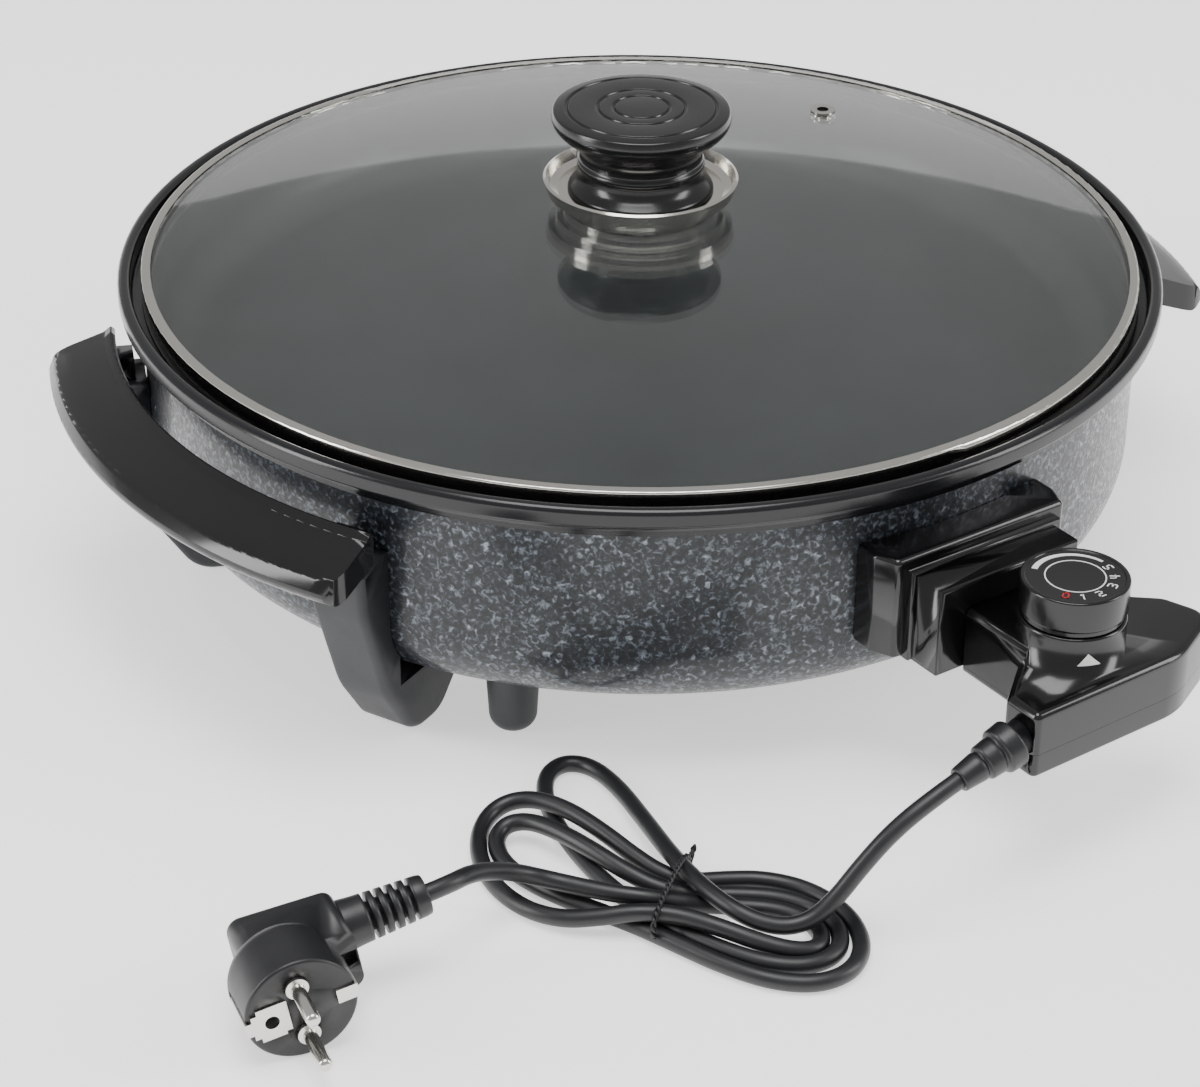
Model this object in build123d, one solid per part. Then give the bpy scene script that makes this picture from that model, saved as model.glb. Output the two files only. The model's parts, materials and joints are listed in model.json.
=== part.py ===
from build123d import *
from math import atan2, cos, degrees, pi, radians, sin, sqrt, tan
import os

os.makedirs("parts", exist_ok=True)

# Round electric pan: a coated tray in a hammered casing, a glass lid and a plug-in thermostat.
# Frame: millimetres, +Z up, origin on the pan's axis at the surface that it stands on.
# The two handles lie on -X and +X, and the thermostat plugs in towards -Y.

# pan tray and casing
rimRadius = 200.0            # outer lip of the tray
rimHeight = 118.0            # top of the lip above the table
rimDepth = 7.0               # height of the lip's outer face
lipWidth = 5.0               # width of the lip's top
ledgeDepth = 8.0             # lid ledge below the lip's top
trayDepth = 40.0             # cooking floor below the lip's top
trayWall = 3.2
trayFloorThickness = 4.0
trayCorner = 18.0            # inner corner between floor and wall
casingRadius = 191.3
casingWall = 1.2
casingBottom = 26.0          # clearance under the casing
casingCorner = 29.5          # outer corner radius of the casing
trayGap = 0.4                # tray wall to casing wall
stepHeight = 4.5             # lower step under the lip
seatHeight = rimHeight - rimDepth - stepHeight - 2.5
seatGap = 0.15

# heating element and probe line
elementDiameter = 8.4
elementRadius = 115.0
elementBend = 18.0
pinSpacing = 26.0
pinDiameter = 5.0
pinDrop = 4.7                # pins and probe below the tray's underside
elementEnd = 178.0           # where the sheath stops, before the wall
pinTip = 213.0
insulatorDiameter = 8.0
insulatorLength = 6.0
sleeveDiameter = 8.8
sleeveBore = 7.0
sleeveLength = 72.0
clampAngles = (45.0, 135.0, 225.0, 315.0)
clampBossRadius = 103.0
clampWidth = 12.0
clampPlate = 1.5

# centre fixing and shield
studDiameter = 6.0
spacerDiameter = 10.0
shieldHeight = 50.0
shieldRadius = 172.0
shieldThickness = 0.6
washerThickness = 1.2
nutHeight = 5.0
nutWidth = 10.0

# socket shroud on the casing; each down and up is from the pins' height
flangeWidth = 75.0
flangeFront = 205.0
flangeDown = 15.3
flangeUp = 23.2
blockWidth = 62.0
blockFront = 221.0
blockDown = 17.3
blockUp = 16.7
mouthWidth = 38.4
mouthDown = 12.5
mouthUp = 7.1
shroudGap = 0.3

# thermostat control; each down and up is from the pins' height
neckWidth = 40.0
neckDown = 19.3
neckUp = 6.7
barDown = 25.3
barThickness = 25.0
splitDown = 16.3
shellWall = 2.2
socketGap = 0.6              # control to shroud, front to front
dialOffset = 252.0           # dial axis from the pan's axis
collarDown = 9.3
collarUp = 14.7
dialDiameter = 37.5
dialHeight = 13.6
dialGap = 0.4
spindleDiameter = 6.0
probeDiameter = 6.4
probeReach = 98.0            # probe beyond the control's front
contactOuter = 6.6
contactClearance = 0.1
noseWidth = 36.0
noseDown = 11.3
noseUp = 4.1
noseReach = 15.0             # nose beyond the control's front

# handles, legs and feet
handleSpan = 27.8            # half of the wing, in degrees
handleInner = 202.0
handleOuter = 228.5
handleInnerTop = 97.0
handleOuterTop = 88.0
handleThickness = 11.0
legAngle = 24.0              # each leg from its handle's middle, in degrees
legWidth = 23.0
legGap = 0.4                 # leg to casing
lugWidth = 12.0
lugThickness = 7.0
lugDepth = 15.0
lugGap = 0.15
footAngle = 38.0             # each foot from the handle line, in degrees
footRadius = 158.0
footDiameter = 20.0
screwDiameter = 4.0
screwGap = 0.1
legScrewHeight = 74.0
legScrewInset = 150.0

# lid
ringOuter = 191.0
ringWidth = 3.7
ringProud = 2.3              # steel ring above the lip
ringSkirt = 1.0
seatClearance = 0.35
glassThickness = 4.0
glassRise = 21.0             # top of the dome above the lip
glassHole = 8.0
ventAngle = 20.0
ventRadius = 133.0
ventBore = 6.0
dishRadius = 37.2
dishHeight = 11.5            # the dish's rim above the glass
knobSeat = 6.4               # the knob's base above the glass
knobRadius = 34.4
knobHeight = 33.0
knobScrewDiameter = 6.0

# cord, hank and plug
cordDiameter = 6.2
reliefPlace = (-37.0, -270.3)
reliefDown = 12.3            # cord outlet below the pins' height
reliefTilt = 16.0            # degrees below level
reliefLength = 27.0
hankLow = 6.2                # one layer of cord
hankHigh = 12.6              # two layers
tieWidth = 2.6
tieThickness = 1.2
plugFace = (-284.0, -217.5, 19.2)
plugTurn = 257.0             # heading of the pins, in degrees from +X
plugRoll = 10.0
plugDiameter = 37.2
plugPinSpacing = 19.0
plugPinDiameter = 4.8
plugPinLength = 19.0
armReach = 53.0

# worked-out sizes
trayOuter = casingRadius - casingWall - trayGap
trayInner = trayOuter - trayWall
trayFloor = rimHeight - trayDepth
trayUnder = trayFloor - trayFloorThickness
ledgeHeight = rimHeight - ledgeDepth
ledgeOuter = rimRadius - lipWidth
casingTop = seatHeight - seatGap
handles = {"left": 180.0, "right": 0.0}
controlFront = -(blockFront + socketGap)
pinHeight = trayUnder - pinDrop
flangeLow, flangeHigh = pinHeight - flangeDown, pinHeight + flangeUp
blockLow, blockHigh = pinHeight - blockDown, pinHeight + blockUp
mouthLow, mouthHigh = pinHeight - mouthDown, pinHeight + mouthUp
neckLow, neckHigh = pinHeight - neckDown, pinHeight + neckUp
barLow = pinHeight - barDown
barHigh = barLow + barThickness
shellSplit = pinHeight - splitDown
collarLow, collarTop = pinHeight - collarDown, pinHeight + collarUp
noseLow, noseHigh = pinHeight - noseDown, pinHeight + noseUp
reliefStart = (*reliefPlace, pinHeight - reliefDown)
ringTop = rimHeight + ringProud
glassTop = rimHeight + glassRise


def save(shape, name):
    """Write one sub-part, as one solid or as a group of separate solids."""
    shape.label = name
    export_step(shape, f"parts/{name}.step")


def face_of(outline, rounds=0):
    """A flat face in XY from a closed outline, with a radius for each corner."""
    with BuildSketch() as sketch:
        with BuildLine():
            FilletPolyline(outline, radius=rounds, close=True)
        make_face()
    return sketch.sketch


def turned(outline, rounds=0):
    """A solid of revolution about Z from a closed outline of radius and height."""
    with BuildSketch(Plane.XZ) as sketch:
        with BuildLine():
            FilletPolyline(outline, radius=rounds, close=True)
        make_face()
    return revolve(sketch.sketch, axis=Axis.Z)


def prism(outline, low, high, rounds=0):
    """An upright prism between two heights."""
    return Pos(0, 0, low) * extrude(face_of(outline, rounds), high - low)


def block(x0, x1, y0, y1, z0, z1):
    """A box between two corners."""
    return Pos((x0 + x1) / 2, (y0 + y1) / 2, (z0 + z1) / 2) * Box(x1 - x0, y1 - y0, z1 - z0)


def rod(start, direction, length, diameter):
    """A straight round bar from a point, along a direction."""
    return Solid.make_cylinder(diameter / 2, length, Plane(origin=start, z_dir=direction))


def around(angle, shape):
    """The shape turned about the pan's axis."""
    return Rot(0, 0, angle) * shape


def group(shapes):
    """Separate solids kept in one node."""
    solids = [solid for shape in shapes for solid in shape.solids()]
    return Compound(children=solids)


def screw(start, direction, length, diameter, headDiameter, headHeight):
    """A pan-head screw: the shank runs along the direction, and the head stands behind the start."""
    shank = rod(start, direction, length, diameter)
    back = Vector(*start) - Vector(*direction).normalized() * headHeight
    head = rod(back, direction, headHeight, headDiameter)
    return shank + head


def polar(radius, angle, height):
    return (radius * cos(radians(angle)), radius * sin(radians(angle)), height)


# ---- tray, casing and what is between them

def pan_tray():
    flange = casingRadius + 1.2
    outline = [
        (0, trayUnder),
        (trayOuter, trayUnder),
        (trayOuter, seatHeight),
        (flange, seatHeight),
        (flange, seatHeight + 2.5),
        (flange + 3, seatHeight + 2.5),
        (flange + 3, rimHeight - rimDepth),
        (rimRadius, rimHeight - rimDepth),
        (rimRadius, rimHeight),
        (ledgeOuter, rimHeight),
        (ledgeOuter, ledgeHeight),
        (trayInner, ledgeHeight),
        (trayInner, trayFloor),
        (0, trayFloor),
    ]
    rounds = [0, trayCorner + trayWall, 0, 0, 0.8, 0, 1.0, 1.2, 2.4, 2.0, 1.0, 1.2, trayCorner, 0]
    tray = turned(outline, rounds)
    bossLow = pinHeight - elementDiameter / 2
    for angle in clampAngles:
        place = polar(clampBossRadius, angle, bossLow)
        tray += rod(place, (0, 0, 1), trayUnder - bossLow + 1, 10)
        tray -= rod(place, (0, 0, 1), trayUnder - bossLow, screwDiameter + 2 * screwGap)
    tray += rod((0, 0, trayUnder - 8), (0, 0, 1), 9, 16)
    tray -= rod((0, 0, trayUnder - 8), (0, 0, 1), 9, studDiameter + 2 * screwGap)
    return tray


def outer_casing():
    inner = casingRadius - casingWall
    outline = [
        (0, casingBottom),
        (casingRadius, casingBottom),
        (casingRadius, casingTop),
        (inner, casingTop),
        (inner, casingBottom + casingWall),
        (0, casingBottom + casingWall),
    ]
    casing = turned(outline, [0, casingCorner, 0, 0, casingCorner - casingWall, 0])
    casing -= block(-21.5, 21.5, -casingRadius - 5, -casingRadius + 15, mouthLow + 1, mouthHigh + 2)
    casing -= rod((0, 0, 0), (0, 0, 1), casingBottom + 5, studDiameter + 0.4)
    hole = screwDiameter + 0.4
    for start, direction in legScrews + footScrews + shroudScrews:
        casing -= rod(start, direction, 12, hole)
    return casing


def element_path():
    """Half circle and tangent bend on each side, out to the two straight ends."""
    bendX = pinSpacing / 2 + elementBend
    reach = elementRadius + elementBend
    bendY = -sqrt(reach**2 - bendX**2)
    turn = degrees(atan2(-bendY, bendX))
    ringStart = (-bendX * elementRadius / reach, bendY * elementRadius / reach)
    middle = (-bendX + elementBend * cos(radians(turn / 2)), bendY + elementBend * sin(radians(turn / 2)))
    half = pinSpacing / 2
    with BuildLine(Plane.XY.offset(pinHeight)) as path:
        Line((-half, -elementEnd), (-half, bendY))
        ThreePointArc((-half, bendY), middle, ringStart)
        ThreePointArc(ringStart, (0, elementRadius), (-ringStart[0], ringStart[1]))
        ThreePointArc((-ringStart[0], ringStart[1]), (-middle[0], middle[1]), (half, bendY))
        Line((half, bendY), (half, -elementEnd))
    return path.line


def heating_element():
    path = element_path()
    start = Plane(origin=path @ 0, z_dir=path % 0)
    return sweep(start * Circle(elementDiameter / 2), path=path)


def element_clamps():
    top = pinHeight - elementDiameter / 2 - 0.05
    plates = []
    for angle in clampAngles:
        plate = block(clampBossRadius - 6, elementRadius + 8, -clampWidth / 2, clampWidth / 2, top - clampPlate, top)
        plate -= rod((clampBossRadius, 0, top - 5), (0, 0, 1), 10, screwDiameter + 0.4)
        plates.append(around(angle, plate))
    return group(plates)


def clamp_screws():
    low = pinHeight - elementDiameter / 2 - 0.1 - clampPlate
    return group([screw(polar(clampBossRadius, a, low), (0, 0, 1), 9, screwDiameter, 8, 2.4) for a in clampAngles])


def element_pins():
    pins = []
    for side in (-1, 1):
        length = pinTip - elementEnd - 0.1
        pin = rod((side * pinSpacing / 2, -elementEnd - 0.1, pinHeight), (0, -1, 0), length, pinDiameter)
        pins.append(fillet(pin.edges().sort_by(Axis.Y)[0], 1.6))
    return group(pins)


def pin_insulators():
    rings = []
    for side in (-1, 1):
        place = (side * pinSpacing / 2, -elementEnd - 0.1, pinHeight)
        ring = rod(place, (0, -1, 0), insulatorLength, insulatorDiameter)
        rings.append(ring - rod(place, (0, -1, 0), insulatorLength, pinDiameter + 0.1))
    return group(rings)


def terminal_block():
    """Ceramic carrier behind the casing's window, bored for the pins and the probe's sleeve."""
    back = elementEnd + insulatorLength + 0.4
    body = block(-21, 21, -back - 5, -back, mouthLow + 2, mouthHigh + 1)
    for x in (-pinSpacing / 2, pinSpacing / 2):
        body -= rod((x, 0, pinHeight), (0, -1, 0), 300, pinDiameter + 0.3)
    body -= rod((0, 0, pinHeight), (0, -1, 0), 300, sleeveDiameter + 0.2)
    return body


def probe_sleeve():
    start = (0, -elementEnd - insulatorLength - 4.5, pinHeight)
    tube = rod(start, (0, 1, 0), sleeveLength, sleeveDiameter)
    return tube - rod(start, (0, 1, 0), sleeveLength - 1.5, sleeveBore)


def heat_shield():
    edge = [
        (studDiameter / 2 + 0.3, shieldHeight),
        (shieldRadius, shieldHeight),
        (shieldRadius, shieldHeight + 8),
        (shieldRadius - shieldThickness, shieldHeight + 8),
        (shieldRadius - shieldThickness, shieldHeight + shieldThickness),
        (studDiameter / 2 + 0.3, shieldHeight + shieldThickness),
    ]
    return turned(edge)


def centre_stud():
    low = casingBottom - washerThickness - nutHeight - 2
    return rod((0, 0, low), (0, 0, 1), trayUnder - 0.5 - low, studDiameter)


def stud_spacers():
    gaps = [
        (casingBottom + casingWall, shieldHeight),
        (shieldHeight + shieldThickness, trayUnder - 8),
    ]
    tubes = []
    for low, high in gaps:
        tube = rod((0, 0, low), (0, 0, 1), high - low, spacerDiameter)
        tubes.append(tube - rod((0, 0, low), (0, 0, 1), high - low, studDiameter + 0.3))
    return group(tubes)


def centre_washer():
    low = casingBottom - washerThickness
    disc = rod((0, 0, low), (0, 0, 1), washerThickness, 20)
    return disc - rod((0, 0, low), (0, 0, 1), washerThickness, studDiameter + 0.3)


def centre_nut():
    low = casingBottom - washerThickness - nutHeight
    nut = Pos(0, 0, low) * extrude(RegularPolygon(nutWidth / 2, 6, major_radius=False), nutHeight)
    return nut - rod((0, 0, low), (0, 0, 1), nutHeight, studDiameter + 0.1)


# ---- socket shroud

def terminal_shroud():
    """Two stepped blocks on the casing's wall, with a mouth for the control's nose."""
    half = flangeWidth / 2
    back = casingRadius - 12
    outline = [
        (-half - 3.5, -back),
        (-half - 3.5, -flangeFront + 9),
        (-half, -flangeFront),
        (half, -flangeFront),
        (half + 3.5, -flangeFront + 9),
        (half + 3.5, -back),
    ]
    flange = prism(outline, flangeLow, flangeHigh, [0, 5, 2.5, 2.5, 5, 0])
    flange = fillet(flange.faces().sort_by(Axis.Z)[-1].edges(), 2.2)
    nose = block(-blockWidth / 2, blockWidth / 2, -blockFront, -flangeFront + 4, blockLow, blockHigh)
    front = nose.faces().sort_by(Axis.Y)[0]
    nose = fillet(front.edges(), 1.6)
    step = block(-blockWidth / 2 - 2.5, blockWidth / 2 + 2.5, -flangeFront - 3.5, -flangeFront + 4,
                 blockLow + 0.8, blockHigh + 2.2)
    step = fillet(step.faces().sort_by(Axis.Y)[0].edges(), 1.2)
    shroud = flange + nose + step
    shroud -= rod((0, 0, 0), (0, 0, 1), 200, 2 * (casingRadius + shroudGap))
    shroud -= block(-mouthWidth / 2, mouthWidth / 2, -blockFront - 5, 0, mouthLow, mouthHigh)
    for start, direction in shroudScrews:
        shroud -= rod(start, direction, 12.6, screwDiameter + 2 * screwGap)
    return shroud


# ---- handles, legs and feet

def handle_wing():
    """Crescent wing about +X, sloping down outwards, with a raised inner edge and rounded ends."""
    low = handleOuterTop - handleThickness
    outline = [
        (handleInner + 1, handleInnerTop - handleThickness - 1),
        (handleInner, handleInnerTop - 0.5),
        (handleInner + 1.5, handleInnerTop + 1.2),
        (handleInner + 4.5, handleInnerTop - 1.2),
        (handleOuter - 3, handleOuterTop + 1.0),
        (handleOuter, handleOuterTop - 5),
        (handleOuter - 4, low + 1.5),
    ]
    with BuildSketch(Plane.XZ) as sketch:
        with BuildLine():
            FilletPolyline(outline, radius=[2, 0.8, 0.8, 2, 3, 3, 3], close=True)
        make_face()
    spread = handleSpan + 6
    wing = Rot(0, 0, -spread) * revolve(sketch.sketch, axis=Axis.Z, revolution_arc=2 * spread)
    a = radians(handleSpan)
    inner, outer = handleInner - 6, handleOuter + 6
    with BuildSketch() as plan:
        with BuildLine():
            FilletPolyline(
                [(inner * cos(a), -inner * sin(a)), (inner * cos(a) + outer - inner - 7, -outer * sin(a) + 3.5),
                 (outer * 1.12, 0), (inner * cos(a) + outer - inner - 7, outer * sin(a) - 3.5),
                 (inner * cos(a), inner * sin(a))],
                radius=[0, 13, 40, 13, 0], close=True)
        make_face()
    mask = Pos(0, 0, 60) * extrude(plan.sketch, 60)
    return wing & mask


def handle_lug(angle, gap=0):
    """The tongue under the handle that goes into the top of a leg."""
    inner = casingRadius + legGap + 4.2
    top = lugTop - gap / 2 + (3 if gap == 0 else 0.4)
    lug = block(inner - gap, inner + lugThickness + gap, -lugWidth / 2 - gap, lugWidth / 2 + gap,
                lugTop - lugDepth - 2 * gap, top)
    return around(angle, lug)


def handle(centre):
    piece = handle_wing()
    for angle in (-legAngle, legAngle):
        inner = casingRadius + legGap + 4.2
        stem = block(inner, inner + lugThickness + 6, -lugWidth / 2, lugWidth / 2, lugTop, handleInnerTop - 4)
        piece += around(angle, stem) + handle_lug(angle)
        bore = rod((inner - 1, 0, legScrewHeight), (1, 0, 0), 6.6, screwDiameter + 2 * screwGap)
        piece -= around(angle, bore)
    return around(centre, piece)


def leg():
    """Bracket about +X that stands off the casing's wall and turns under its corner."""
    wall = casingRadius + legGap
    flat = casingRadius - casingCorner
    under = casingBottom - legGap
    reach = casingCorner + legGap
    outline = [
        (wall - 6, lugTop),
        (wall + 10, lugTop),
        (wall + 16.5, lugTop - 2.4),
        (wall + 15.5, 64),
        (wall + 2, 24),
        (wall - 14, 0.4),
        (wall - 32, 0.4),
        (wall - 48, 17),
        (wall - 58, under),
        (flat, under),
        (wall - 6, under),
    ]
    rounds = [0, 0, 1.5, 30, 40, 14, 14, 20, 0, 0, 0]
    profile = Plane.XZ * face_of(outline, rounds)
    body = extrude(profile, legWidth / 2, both=True)
    hollow = turned([(0, under), (wall, under), (wall, 200), (0, 200)], [0, reach, 0, 0])
    body -= hollow
    sides = body.faces().filter_by(Axis.Y)
    outer = [e for side in sides for e in side.edges() if e.center().X > wall + 0.5 or e.center().Z < under - 1]
    outer = [e for e in outer if e.center().Z < lugTop - 0.5]
    return fillet(outer, 3.0)


def leg_at(angle):
    piece = leg() - handle_lug(0, lugGap)
    bore = screwDiameter + 2 * screwGap
    piece -= rod((casingRadius - 5, 0, legScrewHeight), (1, 0, 0), 20, bore)
    piece -= rod((legScrewInset, 0, 40), (0, 0, -1), 29, bore)
    return around(angle, piece)


def foot_at(angle):
    outline = [(0, 0), (footDiameter / 2 - 1.5, 0), (footDiameter / 2, casingBottom - 0.1), (0, casingBottom - 0.1)]
    foot = turned(outline, [0, 6.4, 0, 0])
    foot -= rod((0, 0, casingBottom), (0, 0, -1), 13.2, screwDiameter + 2 * screwGap)
    foot = Pos(*polar(footRadius, angle, 0)) * foot
    return foot - turned(
        [(0, casingBottom - 0.1), (casingRadius + 0.1, casingBottom - 0.1), (casingRadius + 0.1, rimHeight), (0, rimHeight)],
        [0, casingCorner + 0.1, 0, 0])


lugTop = handleInnerTop - handleThickness - 2.0
legAngles = [centre + side * legAngle for centre in handles.values() for side in (-1, 1)]
footAngles = [centre + side * footAngle for centre in handles.values() for side in (-1, 1)]
wallInside = casingRadius - casingWall - 0.3
legScrews = []
for turn in legAngles:
    c, s = cos(radians(turn)), sin(radians(turn))
    legScrews.append(((wallInside * c, wallInside * s, legScrewHeight), (c, s, 0)))
    legScrews.append(((legScrewInset * c, legScrewInset * s, casingBottom + casingWall + 0.1), (0, 0, -1)))
footScrews = [(polar(footRadius, turn, casingBottom + casingWall + 0.1), (0, 0, -1)) for turn in footAngles]
shroudScrewX = 30.0
shroudScrews = [((x, -sqrt(wallInside**2 - (shroudScrewX + 4) ** 2), (flangeLow + flangeHigh) / 2), (0, -1, 0))
                for x in (-shroudScrewX, shroudScrewX)]


def screw_set(places, length):
    return group([screw(start, direction, length, screwDiameter, 7.5, 2.4) for start, direction in places])


# ---- lid

def dome_height(radius, drop=0):
    """Height of the glass's upper face at a radius, on one sphere."""
    edge = ringOuter - 1.6
    rise = glassTop - (ringTop - 0.8)
    sphere = (edge**2 + rise**2) / (2 * rise)
    return glassTop - drop - (sphere - sqrt(sphere**2 - radius**2))


def lid_glass():
    edge = ringOuter - 1.6
    half = edge / 2
    t = glassThickness
    with BuildSketch(Plane.XZ) as sketch:
        with BuildLine():
            ThreePointArc((0, glassTop), (half, dome_height(half)), (edge, dome_height(edge)))
            Line((edge, dome_height(edge)), (edge, dome_height(edge, t)))
            ThreePointArc((edge, dome_height(edge, t)), (half, dome_height(half, t)), (0, glassTop - t))
            Line((0, glassTop - t), (0, glassTop))
        make_face()
    glass = revolve(sketch.sketch, axis=Axis.Z)
    glass -= rod((0, 0, 0), (0, 0, 1), 300, glassHole)
    return glass - rod(polar(ventRadius, ventAngle, 0), (0, 0, 1), 300, ventBore + 1.4)


def lid_ring():
    """Rolled steel edge: a channel round the glass's edge with a skirt that stands on the ledge."""
    inner = ringOuter - ringWidth
    edge = ringOuter - 1.6
    grooveTop = dome_height(edge) + 0.1
    grooveLow = dome_height(edge, glassThickness) - 0.1
    low = ledgeHeight + seatClearance
    outline = [
        (ringOuter - ringSkirt, low),
        (ringOuter, low),
        (ringOuter, ringTop),
        (inner, ringTop),
        (inner, dome_height(inner) + 0.1),
        (edge + 0.1, grooveTop),
        (edge + 0.1, grooveLow),
        (inner, dome_height(inner, glassThickness) - 0.1),
        (inner, grooveLow - 1),
        (ringOuter - ringSkirt, grooveLow - 1),
    ]
    return turned(outline, [0, 0.4, 0.9, 0, 0, 0, 0, 0, 0, 0])


def knob_dish():
    """Spun steel dish under the knob, stepping down to the glass."""
    top = glassTop + knobSeat - 0.1
    rim = glassTop + dishHeight
    gauge = 0.9
    outer = [(29.0, glassTop - 0.35), (29.8, glassTop + 2.2), (32.2, glassTop + 2.8), (33.0, glassTop + 5.2),
             (35.8, glassTop + 6.0), (dishRadius, rim - 0.6)]
    inside = [(dishRadius - 1.0, rim), (34.8, glassTop + 7.4), (31.8, top), (3.3, top)]
    back = [(3.3, top - gauge), (31.0, top - gauge), (31.2, glassTop + 3.9), (28.9, glassTop + 3.2),
            (28.0, glassTop - 0.35)]
    return turned(outer + inside + back)


def knob_profile():
    """Knob outline from its base up: flare, two beads, neck and the wide top."""
    base = glassTop + knobSeat
    top = base + knobHeight
    sides = [(28.0, base), (27.6, base + 1.6), (23.6, base + 5.0), (23.0, base + 9.0), (24.3, base + 10.2),
             (24.3, base + 11.8), (23.3, base + 12.8), (23.4, base + 16.5), (25.8, base + 20.0),
             (32.0, base + 24.5), (knobRadius, base + 28.6), (knobRadius - 0.9, top - 0.6)]
    rounds = [0, 0.8, 4, 0.6, 0.5, 0.5, 0.8, 6, 6, 5, 1.8, 1.0]
    return sides, rounds, base, top


def lid_knob():
    sides, rounds, base, top = knob_profile()
    groove = 0.7
    rings = [28.4, 16.6, 10.6]
    crown = []
    for radius in rings:
        crown += [(radius + groove, top), (radius + groove * 0.4, top - groove),
                  (radius - groove * 0.4, top - groove), (radius - groove, top)]
    bore = knobScrewDiameter / 2 + 0.05
    tail = [(0, top), (0, base + 18), (bore, base + 18), (bore, base)]
    outline = sides + crown + tail
    return turned(outline, rounds + [0] * (len(crown) + len(tail)))


def knob_screw():
    start = (0, 0, glassTop - glassThickness - 1.7)
    return screw(start, (0, 0, 1), knobSeat + glassThickness + 17, knobScrewDiameter, 12, 3.4)


def knob_seal():
    low = glassTop - glassThickness - 1.6
    ring = rod((0, 0, low), (0, 0, 1), 1.5, 22)
    return ring - rod((0, 0, low), (0, 0, 1), 1.5, knobScrewDiameter + 0.4)


def steam_vent():
    """Rolled eyelet in the glass, with a small flange above and below."""
    lip = ventBore / 2 + 2.2
    topLip = dome_height(ventRadius - lip) + 0.05
    lowLip = dome_height(ventRadius + lip, glassThickness) - 0.05
    bore = ventBore / 2 - 0.6
    outline = [(bore, lowLip - 0.9), (lip, lowLip - 0.9), (lip, lowLip), (ventBore / 2, lowLip),
               (ventBore / 2, topLip), (lip, topLip), (lip, topLip + 0.9), (bore, topLip + 0.9)]
    return Pos(*polar(ventRadius, ventAngle, 0)) * turned(outline)


# ---- thermostat control

barOutline = [
    (-37.0, -278.0),
    (30.0, -276.5),
    (57.0, -263.0),
    (50.5, -245.0),
    (40.0, -236.0),
    (19.0, -236.0),
    (-19.0, -248.0),
    (-37.0, -262.6),
]
barRounds = [2.5, 30, 9, 9, 4, 0, 0, 2.5]
barInner = [
    (-34.6, -275.6),
    (29.6, -274.2),
    (53.6, -261.8),
    (48.2, -246.4),
    (39.2, -238.4),
    (17.0, -238.4),
    (-17.0, -249.6),
    (-34.6, -263.6),
]
barInnerRounds = [1, 28, 7, 7, 2, 0, 0, 1]
controlScrewSpots = [(-27.5, -269.5, barHigh), (44.0, -252.0, barHigh), (14.6, -238.9, neckHigh)]
reliefAxis = (-cos(radians(reliefTilt)), 0, -sin(radians(reliefTilt)))


def control_outside():
    bar = prism(barOutline, barLow, barHigh, barRounds)
    bar = fillet(bar.faces().sort_by(Axis.Z)[-1].edges(), 2.6)
    bar = fillet(bar.faces().sort_by(Axis.Z)[0].edges(), 1.6)
    neck = block(-neckWidth / 2, neckWidth / 2, -dialOffset, controlFront, neckLow, neckHigh)
    neck = fillet(neck.edges().filter_by(Axis.Y), 2.4)
    collar = rod((0, -dialOffset, collarLow), (0, 0, 1), collarTop - collarLow, dialDiameter)
    collar = fillet(collar.edges().sort_by(Axis.Z)[-1], 1.0)
    return bar + neck + collar


def control_inside():
    room = prism(barInner, barLow + shellWall, barHigh - shellWall, barInnerRounds)
    half = neckWidth / 2 - shellWall + 0.3
    room += block(-half, half, -dialOffset, controlFront - shellWall, neckLow + shellWall, neckHigh - shellWall)
    room += rod((0, -dialOffset, collarLow - 2), (0, 0, 1), collarTop - shellWall - collarLow + 2,
                dialDiameter - 2 * shellWall)
    noseHalf = noseWidth / 2 + 0.1
    room += block(-noseHalf, noseHalf, controlFront - 10, controlFront + 5, noseLow - 0.1, noseHigh + 0.1)
    room += rod(reliefStart, (1, 0, 0), 8, 12.6)
    start = Vector(*reliefStart) - Vector(*reliefAxis) * 5
    return room + rod(start, reliefAxis, 9, 12.6)


def control_shell(low, high, posts):
    """One half of the control's housing, between two heights, with its screw posts."""
    keep = block(-80, 80, -300, -200, low, high)
    shell = (control_outside() - control_inside()) & keep
    for x, y, roof in controlScrewSpots:
        if posts == "top":
            post = rod((x, y, shellSplit + 0.3), (0, 0, 1), roof - 1 - shellSplit, 6.6)
            shell += post
            shell -= rod((x, y, shellSplit - 1), (0, 0, 1), 9.5, 3.2)
        else:
            shell -= rod((x, y, barLow - 1), (0, 0, 1), 20, 3.4)
            shell -= rod((x, y, barLow - 1), (0, 0, 1), 2.1, 6.4)
    return shell


def control_top():
    shell = control_shell(shellSplit + 0.1, collarTop + 10, "top")
    return shell - rod((0, -dialOffset, collarLow), (0, 0, 1), 60, spindleDiameter + 0.6)


def control_bottom():
    return control_shell(0, shellSplit, "bottom")


def control_screws():
    pieces = []
    for x, y, roof in controlScrewSpots:
        pieces.append(screw((x, y, barLow + 1.0), (0, 0, 1), shellSplit + 7.0 - barLow, 3.0, 6.0, 0.9))
    return group(pieces)


def contact_block():
    """Moulded nose that carries the two contact sleeves and the probe."""
    back = controlFront - 12
    body = block(-noseWidth / 2, noseWidth / 2, back, controlFront + noseReach, noseLow, noseHigh)
    body = fillet(body.edges().filter_by(Axis.Y), 1.2)
    for x in (-pinSpacing / 2, pinSpacing / 2):
        body -= rod((x, back - 1, pinHeight), (0, 1, 0), 60, contactOuter + 0.1)
    return body - rod((0, back - 1, pinHeight), (0, 1, 0), 60, probeDiameter + 0.1)


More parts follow.
